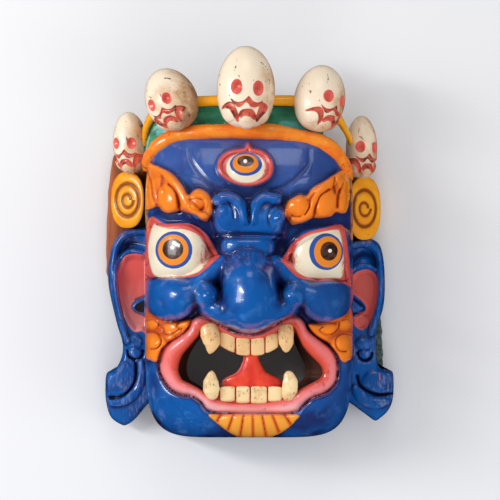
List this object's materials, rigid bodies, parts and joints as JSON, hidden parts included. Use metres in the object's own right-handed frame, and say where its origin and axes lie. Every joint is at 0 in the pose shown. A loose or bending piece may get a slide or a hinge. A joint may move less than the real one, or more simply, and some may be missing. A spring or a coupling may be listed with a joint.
{
  "type": "carved deity mask",
  "caption": "Carved and painted wooden mask of a wrathful guardian with bulging eyes, open fanged mouth, large side ears and a crown of skulls, hollow behind.",
  "frame": {"origin": "middle of the outline, on the plane of the back rim that the mask lies on", "axes": "+X across the face to the viewer's right, +Y from the chin to the crown, +Z out of the face"},
  "size_m": [0.2894, 0.3968, 0.1662],
  "materials": {
    "painted_wood": "glossy enamel paint over carved wood, with a dark wash in the grooves"
  },
  "bodies": {
    "root": {"mask": "painted_wood"}
  },
  "joints": []
}
